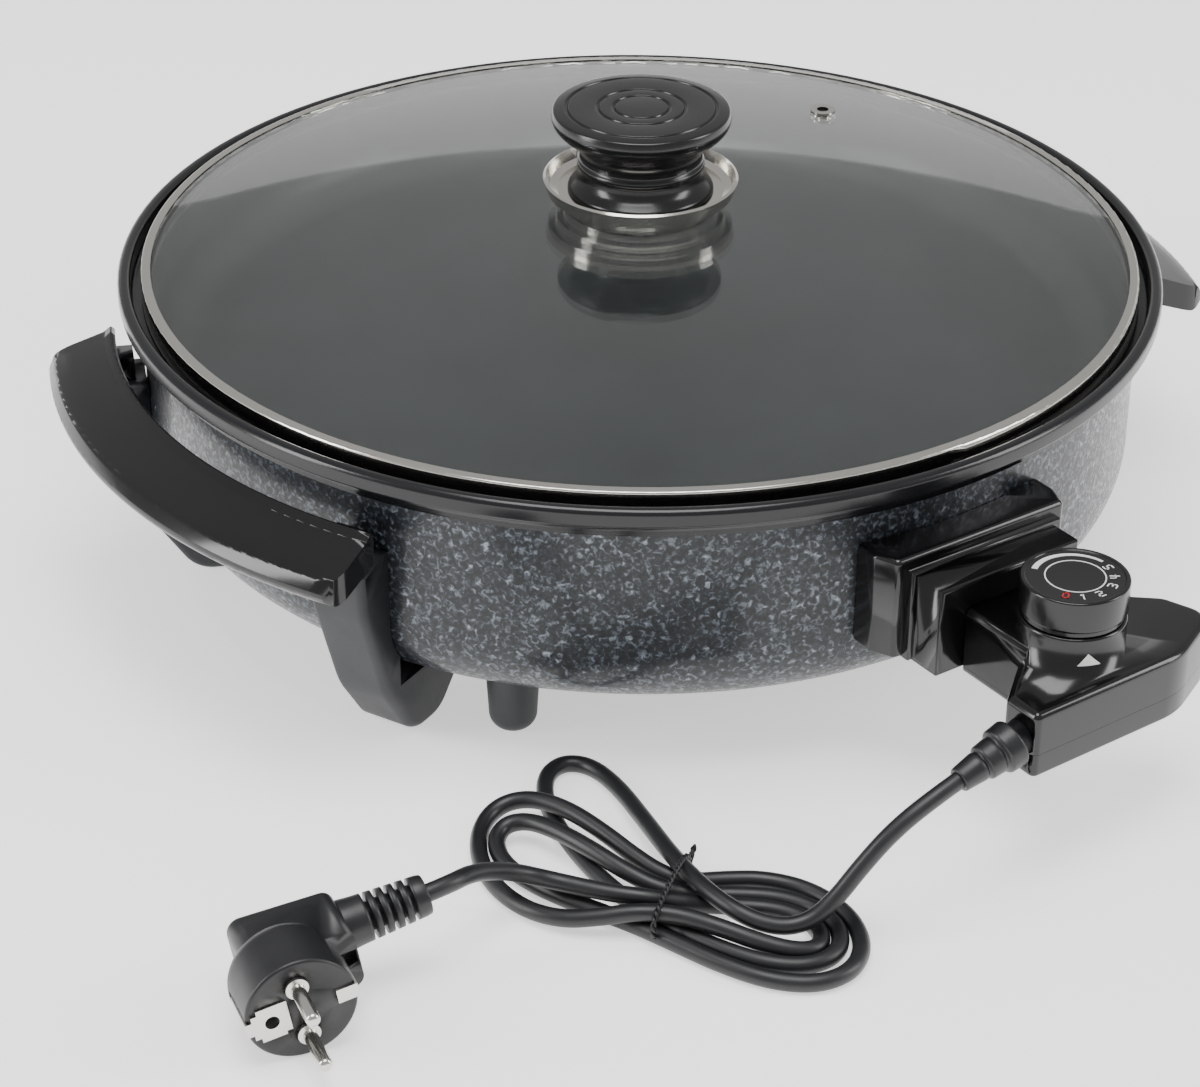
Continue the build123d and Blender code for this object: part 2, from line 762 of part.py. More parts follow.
def contact_sleeves():
    tubes = []
    back = controlFront - 10
    length = noseReach + 9.5
    for x in (-pinSpacing / 2, pinSpacing / 2):
        tube = rod((x, back, pinHeight), (0, 1, 0), length, contactOuter)
        tubes.append(tube - rod((x, back, pinHeight), (0, 1, 0), length, pinDiameter + 2 * contactClearance))
    return group(tubes)


def control_probe():
    start = (0, controlFront - 13, pinHeight)
    length = probeReach + 13
    return fillet(rod(start, (0, 1, 0), length, probeDiameter).edges().sort_by(Axis.Y)[-1], 2.4)


def thermostat_frame():
    """Small frame on the bottom shell that guides the spindle above the switch."""
    frame = block(-10, 10, -262, -248, barLow + shellWall + 0.1, barLow + 20)
    frame -= block(-7.5, 7.5, -263, -247, barLow + 4.5, barLow + 17.5)
    return frame - rod((0, -dialOffset, barLow + 11), (0, 0, 1), 20, spindleDiameter + 0.4)


def bimetal_strip():
    return block(-3, 3, -261, -248.5, barLow + 7, barLow + 7.9)


def switch_contacts():
    lower = rod((0, -259, barLow + 4.8), (0, 0, 1), 2.0, 3.4)
    upper = rod((0, -259, barLow + 8.1), (0, 0, 1), 1.6, 3.4)
    return group([lower, upper])


def dial_spindle():
    low = barLow + 12
    return rod((0, -dialOffset, low), (0, 0, 1), collarTop + dialGap + 9 - low, spindleDiameter)


def temperature_dial():
    low = collarTop + dialGap
    top = low + dialHeight
    r = dialDiameter / 2
    outline = [(spindleDiameter / 2 + 0.05, low), (r - 0.9, low), (r - 0.9, low + 1.6), (r, low + 2.2),
               (r, top), (r - 1.6, top), (r - 1.9, top - 0.35), (0, top - 0.35), (0, low + 9.2),
               (spindleDiameter / 2 + 0.05, low + 9.2)]
    dial = turned(outline, [0, 0, 0, 0.6, 0.9, 0.3, 0, 0, 0, 0])
    return Pos(0, -dialOffset, 0) * dial


# ---- cord, hank and plug

reliefPlane = Plane(origin=reliefStart, z_dir=reliefAxis)
reliefEnd = Vector(*reliefStart) + Vector(*reliefAxis) * reliefLength


def cord_relief():
    """Stepped rubber boot, which stands out of the housing's end and narrows to the cord."""
    n = reliefLength
    outline = [(0, -2.5), (6.1, -2.5), (6.1, 2.9), (8.6, 2.9), (8.2, 9.6), (6.2, 10.4), (6.6, 11.6), (6.3, 16.4),
               (4.7, 17.2), (5.3, 18.4), (4.4, n), (0, n)]
    rounds = [0, 0, 0, 1.2, 1.2, 0, 0, 1, 0, 0, 0.8, 0]
    return reliefPlane * turned(outline, rounds)


heading = radians(plugTurn)
roll = radians(plugRoll)
pinAxis = Vector(cos(heading), sin(heading), 0)
armAxis = Vector(-sin(heading) * cos(roll), cos(heading) * cos(roll), sin(roll))
plugPlane = Plane(origin=plugFace, x_dir=armAxis, z_dir=pinAxis)
armDepth = 31.0
armEnd = plugPlane.from_local_coords(Vector(armReach, 0, -armDepth))
exitRun = 14.8               # straight run out of the boot, and out of the plug's arm
armRun = 13.0
dropRoute = [
    tuple(reliefEnd),
    tuple(reliefEnd + Vector(*reliefAxis) * exitRun),
    (-88.8, -268.8, 36.8),
    (-97.6, -266.2, 24.6),
    (-107.4, -261.8, 14.4),
    (-120.2, -256.8, 9.5),
    (-134.5, -253.4, 9.5),
]
leadRoute = [
    (-152.0, -202.4, 9.5),
    (-166.4, -202.4, 9.5),
    (-180.2, -203.0, 15.0),
    (-189.6, -203.4, 22.8),
    (-201.2, -203.4, 28.8),
    tuple(armEnd + armAxis * armRun),
    tuple(armEnd),
]


def tube_along(route, name):
    """Straight runs joined by tangent arcs, each as large as its two runs allow."""
    points = [Vector(*p) for p in route]
    radii = []
    for before, here, after in zip(points, points[1:], points[2:]):
        turn = radians((here - before).get_angle(after - here))
        shorter = min((here - before).length, (after - here).length)
        radii.append(0.45 * shorter / tan(turn / 2))
    print(name, "radii", [round(r, 1) for r in radii])
    with BuildLine() as path:
        FilletPolyline(points, radius=radii)
    line = path.line
    tube = sweep(Plane(origin=line @ 0, z_dir=line % 0) * Circle(cordDiameter / 2), path=line)
    length = sum(edge.length for edge in line.edges())
    expected = pi * (cordDiameter / 2) ** 2 * length
    print(name, "length", round(length, 1), "volume", round(tube.volume), "expected", round(expected))
    return tube


tieCentre = (-147.0, -219.0)
tieHeading = 127.0           # heading of the tied strands, in degrees from +X
tieSpan = 31.0


def hank_waist():
    """The box that the tie goes round."""
    frame = Pos(*tieCentre, 0) * Rot(0, 0, tieHeading)
    return frame, tieSpan, tieThickness + 0.1, hankHigh


def cord_hank():
    """Outer shape of the tied cord: one layer over all the loops, and a second one over the middle."""
    loops = [(-121, -131), (-143, -137), (-176, -143), (-190, -160), (-191, -188), (-178, -212), (-160, -240),
             (-151, -268), (-138, -286), (-120, -291), (-101, -284), (-94, -262), (-98, -236), (-117, -212),
             (-114, -160)]
    lower = prism(loops, 0, hankLow, 7)
    start, end = Vector(*dropRoute[-1]), Vector(*leadRoute[0])
    across = (start - Vector(*dropRoute[-2])).normalized().rotate(Axis.Z, 90) * 9
    upper = [(start - across), (start + across), (-152, -266), (-165, -236), (-160, -216), (end.X, end.Y - 9),
             (end.X, end.Y + 9), (-143, -182), (-128, -190), (-121, -215)]
    stack = prism([(p[0], p[1]) if isinstance(p, tuple) else (p.X, p.Y) for p in upper], hankLow, hankHigh,
                  [2, 2, 6, 8, 3, 0.5, 2, 6, 8, 8])
    hank = lower + stack
    frame, span, low, high = hank_waist()
    collar = frame * Pos(0, 0, 10) * Box(tieWidth + 0.2, 90, 60)
    waist = frame * Pos(0, 0, (low + high) / 2) * Box(tieWidth + 4, span, high - low)
    return hank - (collar - waist)


def cord_tie():
    """Twisted wire round the strands, as a plain band, with its twisted end."""
    frame, span, low, high = hank_waist()
    outer = Box(tieWidth, span + 2 * tieThickness + 0.2, high - low + 2 * tieThickness + 0.2)
    outer = Pos(0, 0, (low + high) / 2) * outer
    inner = Pos(0, 0, (low + high) / 2) * Box(tieWidth + 2, span + 0.2, high - low + 0.2)
    return frame * (outer - inner)


def plug_body():
    """Round moulded plug with a side arm; local z is along the pins and local x along the arm."""
    r = plugDiameter / 2
    face = turned([(0, -24), (r - 2, -24), (r, -20), (r, 0), (0, 0)], [0, 3, 6, 1.2, 0])
    back = prism([(-12, -14), (24, -11), (24, 11), (-12, 14)], -39, -14, [5, 4, 4, 5])
    back = fillet(back.faces().sort_by(Axis.Z)[0].edges(), 3)
    arm = turned([(0, 0), (9.6, 0), (8.2, 14), (7.0, 36), (6.6, 38), (0, 38)], [0, 0, 8, 0, 0.6, 0])
    for step in range(5):
        arm -= Pos(0, 0, 18 + step * 3.6) * (Cylinder(12, 1.5) - Cylinder(5.0, 1.5))
    arm = Pos(armReach - 38, 0, -armDepth) * Rot(0, 90, 0) * arm
    body = face + back + arm
    body -= block(r - 1.2, r + 5, -3.2, 3.2, -17, 5)
    body -= block(-r - 5, -r + 1.2, -3.2, 3.2, -17, 5)
    for y in (-plugPinSpacing / 2, plugPinSpacing / 2):
        body -= Pos(0, y, -6) * Cylinder(plugPinDiameter / 2 + 0.05, 14)
    body -= Pos(-10.2, 0, -8) * Cylinder(2.6, 20)
    return plugPlane * body


def plug_pins():
    pins = []
    for y in (-plugPinSpacing / 2, plugPinSpacing / 2):
        r = plugPinDiameter / 2
        outline = [(0, -10), (r, -10), (r, 0.1), (r + 1.4, 0.1), (r + 1.4, 1.5), (r, 1.9),
                   (r, plugPinLength), (0, plugPinLength)]
        pins.append(plugPlane * Pos(0, y, 0) * turned(outline, [0, 0, 0, 0, 0, 0, 1.8, 0]))
    return group(pins)


def plug_earth_plate():
    """Earth contact on the far side: a face plate with the earth pin's hole, and its side spring."""
    r = plugDiameter / 2
    plate = block(-16.6, -4.4, -6.4, 6.4, 0.1, 0.9)
    plate -= block(-17, -14.6, -7, -4.6, 0, 1)
    plate -= block(-17, -14.6, 4.6, 7, 0, 1)
    plate -= block(-6.4, -4, -7, -5.2, 0, 1)
    plate += block(-r - 0.2, -16, -2.6, 2.6, 0.1, 0.9)
    plate -= Pos(-10.2, 0, 0) * Cylinder(2.4, 10)
    spring = block(-r - 0.2, -r + 0.7, -2.6, 2.6, -15, 0.9)
    return plugPlane * (plate + spring)


def plug_earth_clip():
    """Earth contact on the arm's side: a side spring with a short tab over the face."""
    r = plugDiameter / 2
    tab = block(11.6, r + 0.2, -2.6, 2.6, 0.1, 0.9)
    spring = block(r - 0.7, r + 0.2, -2.6, 2.6, -15, 0.9)
    return plugPlane * (tab + spring)




# ---- write every sub-part

def main():
    save(pan_tray(), "pan_tray")
    save(outer_casing(), "outer_casing")
    save(heating_element(), "heating_element")
    save(element_clamps(), "element_clamps")
    save(clamp_screws(), "clamp_screws")
    save(element_pins(), "element_pins")
    save(pin_insulators(), "pin_insulators")
    save(terminal_block(), "terminal_block")
    save(probe_sleeve(), "probe_sleeve")
    save(heat_shield(), "heat_shield")
    save(centre_stud(), "centre_stud")
    save(stud_spacers(), "stud_spacers")
    save(centre_washer(), "centre_washer")
    save(centre_nut(), "centre_nut")
    save(terminal_shroud(), "terminal_shroud")
    save(screw_set(shroudScrews, 12), "shroud_screws")
    for side, centre in handles.items():
        save(handle(centre), f"handle_{side}")
        for end, turn in (("a", -legAngle), ("b", legAngle)):
            save(leg_at(centre + turn), f"leg_{side}_{end}")
        for end, turn in (("a", -footAngle), ("b", footAngle)):
            save(foot_at(centre + turn), f"foot_{side}_{end}")
    save(screw_set(legScrews, 11), "leg_screws")
    save(screw_set(footScrews, 12), "foot_screws")
    save(lid_glass(), "lid_glass")
    save(lid_ring(), "lid_ring")
    save(knob_dish(), "knob_dish")
    save(lid_knob(), "lid_knob")
    save(knob_screw(), "knob_screw")
    save(knob_seal(), "knob_seal")
    save(steam_vent(), "steam_vent")
    save(control_top(), "control_top")
    save(control_bottom(), "control_bottom")
    save(control_screws(), "control_screws")
    save(contact_block(), "contact_block")
    save(contact_sleeves(), "contact_sleeves")
    save(control_probe(), "control_probe")
    save(thermostat_frame(), "thermostat_frame")
    save(bimetal_strip(), "bimetal_strip")
    save(switch_contacts(), "switch_contacts")
    save(dial_spindle(), "dial_spindle")
    save(temperature_dial(), "temperature_dial")
    save(cord_relief(), "cord_relief")
    save(tube_along(dropRoute, "cord_drop"), "cord_drop")
    save(cord_hank(), "cord_hank")
    save(cord_tie(), "cord_tie")
    save(tube_along(leadRoute, "cord_lead"), "cord_lead")
    save(plug_body(), "plug_body")
    save(plug_pins(), "plug_pins")
    save(plug_earth_plate(), "plug_earth_plate")
    save(plug_earth_clip(), "plug_earth_clip")


main()
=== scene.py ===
import json
import math

import bpy
import bmesh
import numpy as np
from mathutils import Matrix, Vector

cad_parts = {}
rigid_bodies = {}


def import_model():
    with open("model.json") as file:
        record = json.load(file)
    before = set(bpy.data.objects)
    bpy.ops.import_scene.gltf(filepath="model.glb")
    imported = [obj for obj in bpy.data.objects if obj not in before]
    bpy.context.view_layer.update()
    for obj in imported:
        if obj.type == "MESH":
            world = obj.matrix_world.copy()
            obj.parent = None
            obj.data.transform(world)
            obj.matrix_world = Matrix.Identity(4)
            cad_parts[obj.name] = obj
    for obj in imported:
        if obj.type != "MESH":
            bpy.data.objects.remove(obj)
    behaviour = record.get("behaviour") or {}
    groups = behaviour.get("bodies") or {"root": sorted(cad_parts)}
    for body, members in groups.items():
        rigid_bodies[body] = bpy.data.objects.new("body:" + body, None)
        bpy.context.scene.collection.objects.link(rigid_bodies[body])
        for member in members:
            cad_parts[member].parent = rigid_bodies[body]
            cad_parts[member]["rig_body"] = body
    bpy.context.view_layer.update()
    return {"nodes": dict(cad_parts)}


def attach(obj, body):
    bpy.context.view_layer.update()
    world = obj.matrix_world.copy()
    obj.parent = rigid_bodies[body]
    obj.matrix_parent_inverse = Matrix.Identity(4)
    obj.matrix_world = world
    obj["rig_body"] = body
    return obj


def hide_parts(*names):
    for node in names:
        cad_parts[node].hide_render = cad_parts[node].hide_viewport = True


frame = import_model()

nodes = frame["nodes"]
mm = 0.001
print("frame loaded:", len(nodes), "nodes")


# small helpers

def srgb(code):  # hex to linear: ((c + 0.055) / 1.055) ^ 2.4 above the dark toe, c / 12.92 below
    parts = [int(code[i:i + 2], 16) / 255 for i in (0, 2, 4)]
    return tuple(c / 12.92 if c <= 0.04045 else ((c + 0.055) / 1.055) ** 2.4 for c in parts) + (1.0,)


def addNode(tree, kind, settings=None, values=None, links=None):
    node = tree.nodes.new(kind)
    for key, value in (settings or {}).items():
        setattr(node, key, value)
    for key, value in (values or {}).items():
        node.inputs[key].default_value = value
    for key, source in (links or {}).items():
        tree.links.new(source, node.inputs[key])
    return node


def startMaterial(name, shaderValues):
    material = bpy.data.materials.new(name)
    material.use_nodes = True
    tree = material.node_tree
    shader = tree.nodes["Principled BSDF"]
    for key, value in shaderValues.items():
        shader.inputs[key].default_value = value
    place = addNode(tree, "ShaderNodeTexCoord").outputs["Object"]
    return material, tree, shader, place


def ramp(tree, source, stops):  # value to colour or grey by stops of (place, linear colour)
    node = addNode(tree, "ShaderNodeValToRGB", links={"Fac": source})
    while len(node.color_ramp.elements) < len(stops):
        node.color_ramp.elements.new(0.5)
    for element, (at, colour) in zip(node.color_ramp.elements, stops):
        element.position = at
        element.color = colour
    return node.outputs["Color"]


def grey(value):
    return (value, value, value, 1.0)


def noise(tree, place, sizeMm, detail=3.0, roughness=0.55, distortion=0.0):
    values = {"Scale": 1000 / sizeMm, "Detail": detail, "Roughness": roughness, "Distortion": distortion}
    node = addNode(tree, "ShaderNodeTexNoise", values=values, links={"Vector": place})
    return node.outputs["Fac"]


def bump(tree, shader, height, depthMm, strength):
    node = addNode(tree, "ShaderNodeBump", values={"Strength": strength, "Distance": depthMm * mm},
                   links={"Height": height})
    tree.links.new(node.outputs["Normal"], shader.inputs["Normal"])


def paint(piece, material):
    piece.data.materials.clear()
    piece.data.materials.append(material)


# materials

def makeHammerEnamel():
    # hammertone enamel on pressed steel, sprayed and baked: small silvery flecks on blue-black,
    # drawn a little coarser than on the real pan
    look = {"wormMm": 1.2, "deep": "0e1014", "ground": "22262c", "silver": "4c525a", "crest": "9299a1",
            "depthMm": 0.12}
    material, tree, shader, place = startMaterial("hammerEnamel", {
        "IOR": 1.5, "Metallic": 0.3, "Coat Weight": 0.3, "Coat Roughness": 0.15})
    worm = noise(tree, place, look["wormMm"] * 1.7, 2.0, 0.5, 0.7)
    colour = ramp(tree, worm, [(0.38, srgb(look["deep"])), (0.53, srgb(look["ground"])),
                               (0.63, srgb(look["silver"])), (0.76, srgb(look["crest"]))])
    tree.links.new(colour, shader.inputs["Base Color"])
    rough = ramp(tree, worm, [(0.4, grey(0.42)), (0.7, grey(0.25))])
    tree.links.new(rough, shader.inputs["Roughness"])
    bump(tree, shader, worm, look["depthMm"], 0.7)
    return material


def makeTrayCoating():
    # sprayed non-stick on die-cast aluminium: satin charcoal with fine mineral specks inside,
    # and a glossier rim
    look = {"inside": "2b2e31", "insideDark": "1f2124", "speck": "4a4d52", "rim": "121315",
            "insideEdge": 0.1895, "insideTop": 0.1165, "speckMm": 1.1, "cloudMm": 28,
            "rimRough": 0.20, "insideRough": 0.40}
    material, tree, shader, place = startMaterial("trayCoating", {"IOR": 1.5, "Coat Roughness": 0.12})
    parts = addNode(tree, "ShaderNodeSeparateXYZ", links={"Vector": place}).outputs
    flat = addNode(tree, "ShaderNodeCombineXYZ", links={"X": parts["X"], "Y": parts["Y"]}).outputs["Vector"]
    radius = addNode(tree, "ShaderNodeVectorMath", {"operation": "LENGTH"}, None, {0: flat}).outputs["Value"]
    nearIn = addNode(tree, "ShaderNodeMath", {"operation": "LESS_THAN"}, {1: look["insideEdge"]},
                     {0: radius}).outputs[0]
    low = addNode(tree, "ShaderNodeMath", {"operation": "LESS_THAN"}, {1: look["insideTop"]},
                  {0: parts["Z"]}).outputs[0]
    inside = addNode(tree, "ShaderNodeMath", {"operation": "MULTIPLY"}, None, {0: nearIn, 1: low}).outputs[0]
    cloud = ramp(tree, noise(tree, place, look["cloudMm"], 3.0),
                 [(0.3, srgb(look["insideDark"])), (0.7, srgb(look["inside"]))])
    specks = ramp(tree, noise(tree, place, look["speckMm"], 2.0, 0.7),
                  [(0.60, grey(0.0)), (0.72, grey(0.55))])
    coat = addNode(tree, "ShaderNodeMix", {"data_type": "RGBA"}, {7: srgb(look["speck"])},
                   {0: specks, 6: cloud}).outputs[2]
    colour = addNode(tree, "ShaderNodeMix", {"data_type": "RGBA"}, {6: srgb(look["rim"])},
                     {0: inside, 7: coat}).outputs[2]
    tree.links.new(colour, shader.inputs["Base Color"])
    rough = addNode(tree, "ShaderNodeMapRange",
                    values={"To Min": look["rimRough"], "To Max": look["insideRough"]},
                    links={"Value": inside})
    tree.links.new(rough.outputs["Result"], shader.inputs["Roughness"])
    bump(tree, shader, noise(tree, place, 1.4, 3.0, 0.6), 0.025, 0.5)
    return material


def makePhenolic(name, tone, roughLow, roughHigh, grainMm, depthMm):
    # black phenolic from a hot steel mould: a hard, cool shine where the mould is polished,
    # and a soft one where it is sanded
    material, tree, shader, place = startMaterial(name, {"Base Color": srgb(tone), "IOR": 1.55})
    rough = ramp(tree, noise(tree, place, 22, 4.0, 0.6), [(0.3, grey(roughLow)), (0.75, grey(roughHigh))])
    tree.links.new(rough, shader.inputs["Roughness"])
    bump(tree, shader, noise(tree, place, grainMm, 3.0, 0.6), depthMm, 0.6)
    return material


def makeMetal(name, tone, roughLow, roughHigh, grainMm, depthMm=0.004):
    # plated or polished metal: the finish only shows as a slight change in how sharp its reflections are
    material, tree, shader, place = startMaterial(name, {"Base Color": srgb(tone), "Metallic": 1.0})
    grain = noise(tree, place, grainMm, 3.0, 0.6)
    rough = ramp(tree, grain, [(0.3, grey(roughLow)), (0.7, grey(roughHigh))])
    tree.links.new(rough, shader.inputs["Roughness"])
    bump(tree, shader, grain, depthMm, 0.4)
    return material


def makeGlass():
    # tempered soda-lime glass, pressed into a shallow dome: clear, with a faint green in its depth
    material, tree, shader, place = startMaterial("temperedGlass", {
        "Base Color": srgb("f6faf8"), "IOR": 1.5, "Transmission Weight": 1.0, "Roughness": 0.0})
    haze = ramp(tree, noise(tree, place, 60, 2.0), [(0.35, grey(0.0)), (0.8, grey(0.02))])
    tree.links.new(haze, shader.inputs["Roughness"])
    return material


def makeRubber(name, tone, rough, grainMm, depthMm, coat=0.0):
    # flexible compound, extruded or moulded: a low even sheen with a very fine skin texture
    material, tree, shader, place = startMaterial(name, {"Base Color": srgb(tone), "IOR": 1.5,
                                                         "Coat Weight": coat, "Coat Roughness": 0.35})
    spread = ramp(tree, noise(tree, place, 14, 3.0), [(0.3, grey(rough - 0.06)), (0.7, grey(rough + 0.08))])
    tree.links.new(spread, shader.inputs["Roughness"])
    bump(tree, shader, noise(tree, place, grainMm, 2.0), depthMm, 0.5)
    return material


def makeInk(name, tone):
    # pad-printed ink: flat and a little uneven where it is thin
    material, tree, shader, place = startMaterial(name, {"Roughness": 0.5, "IOR": 1.45})
    base = np.array(srgb(tone))
    thin = tuple(base * 0.86 + (0, 0, 0, 0.14))
    colour = ramp(tree, noise(tree, place, 1.2, 2.0), [(0.3, thin), (0.6, tuple(base))])
    tree.links.new(colour, shader.inputs["Base Color"])
    return material


hammerEnamel = makeHammerEnamel()
trayCoating = makeTrayCoating()
phenolicPolished = makePhenolic("phenolicPolished", "0c0c0d", 0.13, 0.22, 5.0, 0.02)
phenolicSatin = makePhenolic("phenolicSatin", "0f1011", 0.18, 0.27, 1.6, 0.02)
phenolicMatt = makePhenolic("phenolicMatt", "1f2124", 0.46, 0.6, 0.9, 0.05)
polishedSteel = makeMetal("polishedSteel", "d6d3cc", 0.10, 0.20, 0.8)
darkSteel = makeMetal("sheathSteel", "6d6660", 0.30, 0.45, 1.5)
zincPlate = makeMetal("zincPlate", "a9adb0", 0.28, 0.42, 0.9)
nickelPlate = makeMetal("nickelPlate", "d8d6d0", 0.14, 0.26, 0.7)
springBrass = makeMetal("springBrass", "c0a060", 0.22, 0.36, 0.9)
temperedGlass = makeGlass()
softPvc = makeRubber("softPvc", "17181a", 0.42, 0.5, 0.012, 0.15)
plugPvc = makeRubber("plugPvc", "151618", 0.40, 0.7, 0.03, 0.1)
tieVinyl = makeRubber("tieVinyl", "111214", 0.45, 0.4, 0.01)
siliconeSeal = makeRubber("siliconeSeal", "8f8c86", 0.6, 0.6, 0.02)
steatite = makeRubber("steatite", "dcd6c6", 0.75, 0.4, 0.02)
whiteInk = makeInk("whiteInk", "e6e6e3")
redInk = makeInk("redInk", "c01a22")
print("materials made")

finishes = {
    hammerEnamel: ["outer_casing"],
    trayCoating: ["pan_tray"],
    darkSteel: ["heating_element"],
    zincPlate: ["element_clamps", "clamp_screws", "probe_sleeve", "heat_shield", "centre_stud",
                "stud_spacers", "centre_washer", "centre_nut", "shroud_screws", "leg_screws",
                "foot_screws", "knob_screw", "control_screws", "thermostat_frame"],
    nickelPlate: ["element_pins", "plug_pins", "plug_earth_plate", "plug_earth_clip", "control_probe"],
    steatite: ["pin_insulators", "terminal_block"],
    phenolicPolished: ["terminal_shroud", "handle_left", "handle_right", "control_top", "control_bottom",
                       "temperature_dial", "lid_knob"],
    phenolicMatt: ["leg_left_a", "leg_left_b", "leg_right_a", "leg_right_b", "foot_left_a", "foot_left_b",
                   "foot_right_a", "foot_right_b", "contact_block"],
    temperedGlass: ["lid_glass"],
    polishedSteel: ["lid_ring", "knob_dish", "steam_vent", "dial_spindle"],
    siliconeSeal: ["knob_seal"],
    springBrass: ["contact_sleeves", "bimetal_strip", "switch_contacts"],
    plugPvc: ["cord_relief", "plug_body"],
    softPvc: ["cord_drop", "cord_hank", "cord_lead"],
    tieVinyl: ["cord_tie"],
}
for material, names in finishes.items():
    for name in names:
        paint(nodes[name], material)


def addMesh(name, points, faces, material, body):
    mesh = bpy.data.meshes.new(name)
    mesh.from_pydata([], [], [])
    mesh.vertices.add(len(points))
    mesh.vertices.foreach_set("co", np.asarray(points, np.float32).ravel())
    faces = np.asarray(faces, np.int32)
    mesh.loops.add(faces.size)
    mesh.loops.foreach_set("vertex_index", faces.ravel())
    mesh.polygons.add(len(faces))
    mesh.polygons.foreach_set("loop_start", np.arange(0, faces.size, faces.shape[1], dtype=np.int32))
    mesh.polygons.foreach_set("use_smooth", np.ones(len(faces), bool))
    mesh.update(calc_edges=True)
    mesh.validate()
    piece = bpy.data.objects.new(name, mesh)
    bpy.context.scene.collection.objects.link(piece)
    piece.data.materials.append(material)
    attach(piece, body)
    return piece


def gridFaces(rows, columns, wrapRows=False, wrapColumns=False):  # quads of a grid, row by row
    r = np.arange(rows if wrapRows else rows - 1)[:, None]
    c = np.arange(columns if wrapColumns else columns - 1)[None, :]
    nextR, nextC = (r + 1) % rows, (c + 1) % columns
    quads = np.stack([r * columns + c, r * columns + nextC, nextR * columns + nextC, nextR * columns + c], -1)
    return quads.reshape(-1, 4)


# smooth skins over the moulded and pressed parts

def skinOf(node, material, sharpDegrees=34):  # same surface as the solid, welded so that it shades smoothly
    source = nodes[node]
    mesh = source.data.copy()
    mesh.name = node + "Skin"
    work = bmesh.new()
    work.from_mesh(mesh)
    bmesh.ops.remove_doubles(work, verts=work.verts, dist=0.002 * mm)
    work.to_mesh(mesh)
    work.free()
    mesh.shade_smooth()
    mesh.set_sharp_from_angle(angle=math.radians(sharpDegrees))
    piece = bpy.data.objects.new(node + "Skin", mesh)
    bpy.context.scene.collection.objects.link(piece)
    paint(piece, material)
    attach(piece, source["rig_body"])
    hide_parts(node)
    return piece


for name in ("handle_left", "handle_right", "terminal_shroud", "control_top", "control_bottom"):
    skinOf(name, phenolicPolished)
for name in ("leg_left_a", "leg_left_b", "leg_right_a", "leg_right_b", "foot_left_a", "foot_left_b",
             "foot_right_a", "foot_right_b"):
    skinOf(name, phenolicMatt)
skinOf("pan_tray", trayCoating)
skinOf("outer_casing", hammerEnamel)
plugBody = skinOf("plug_body", plugPvc)
skinOf("cord_relief", plugPvc)
skinOf("lid_glass", temperedGlass)
skinOf("lid_ring", polishedSteel)
print("skins made")

# turned pieces: a rounded profile of radius and height, carried round an upright axis

def roundedProfile(corners, rounds, steps=6):
    # each corner is cut back by its round and replaced by a quadratic curve: (1-t)^2 A + 2t(1-t) P + t^2 B
    corners = np.array(corners, float)
    before, after = np.roll(corners, 1, 0), np.roll(corners, -1, 0)
    rounds = np.array(rounds, float)[:, None]
    inward, onward = before - corners, after - corners
    lengthIn = np.linalg.norm(inward, axis=1, keepdims=True)
    lengthOn = np.linalg.norm(onward, axis=1, keepdims=True)
    start = corners + inward / lengthIn * np.minimum(rounds, lengthIn * 0.49)
    end = corners + onward / lengthOn * np.minimum(rounds, lengthOn * 0.49)
    t = np.linspace(0, 1, steps)[None, :, None]
    curve = (1 - t) ** 2 * start[:, None] + 2 * t * (1 - t) * corners[:, None] + t ** 2 * end[:, None]
    points = curve.reshape(-1, 2)
    keep = np.linalg.norm(points - np.roll(points, 1, 0), axis=1) > 1e-4
    return points[keep]


def turnedPiece(name, profile, centre, material, body, node, sharpDegrees, turns=192):
    # point = centre + (r cos a, r sin a, z) for every profile point (r, z) and angle a
    angles = np.arange(turns) / turns * 2 * np.pi
    r, z = profile[:, 0][None, :], profile[:, 1][None, :]
    x = centre[0] + r * np.cos(angles)[:, None]
    y = centre[1] + r * np.sin(angles)[:, None]
    points = np.stack([x, y, np.broadcast_to(z, x.shape)], -1).reshape(-1, 3) * mm
    piece = addMesh(name, points, gridFaces(turns, len(profile), True, True), material, body)
    closeUp(piece, sharpDegrees)
    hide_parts(node)


def closeUp(piece, sharpDegrees):  # doubles merged first, then all faces turned outwards
    work = bmesh.new()
    work.from_mesh(piece.data)
    bmesh.ops.remove_doubles(work, verts=work.verts, dist=0.001 * mm)
    bmesh.ops.recalc_face_normals(work, faces=work.faces)
    work.to_mesh(piece.data)
    work.free()
    piece.data.shade_smooth()
    piece.data.set_sharp_from_angle(angle=math.radians(sharpDegrees))


knobSet = {"base": 145.4, "top": 178.4, "bore": 3.05}


def makeKnob():
    b, top = knobSet["base"], knobSet["top"]
    corners = [(knobSet["bore"], b), (28, b), (27.6, b + 1.6), (23.6, b + 5), (23, b + 9), (24.3, b + 10.2),
               (24.3, b + 11.8), (23.3, b + 12.8), (23.4, b + 16.5), (25.8, b + 20), (32, b + 24.5),
               (34.4, b + 28.6), (33.5, top - 0.6), (29.2, top), (28.8, top - 0.7), (28.0, top - 0.7),
               (27.6, top), (17.4, top), (17.0, top - 0.7), (16.2, top - 0.7), (15.8, top), (11.4, top),
               (11.0, top - 0.7), (10.2, top - 0.7), (9.8, top), (0.02, top), (0.02, b + 22),
               (knobSet["bore"], b + 22)]
    rounds = [0.1, 0.8, 0.8, 3, 0.6, 0.5, 0.5, 0.8, 5, 5, 4, 1.6, 0.8] + [0.25] * 12 + [0, 0, 0]
    turnedPiece("lidKnob", roundedProfile(corners, rounds), (0, 0), phenolicSatin, "lid", "lid_knob", 50)


makeKnob()

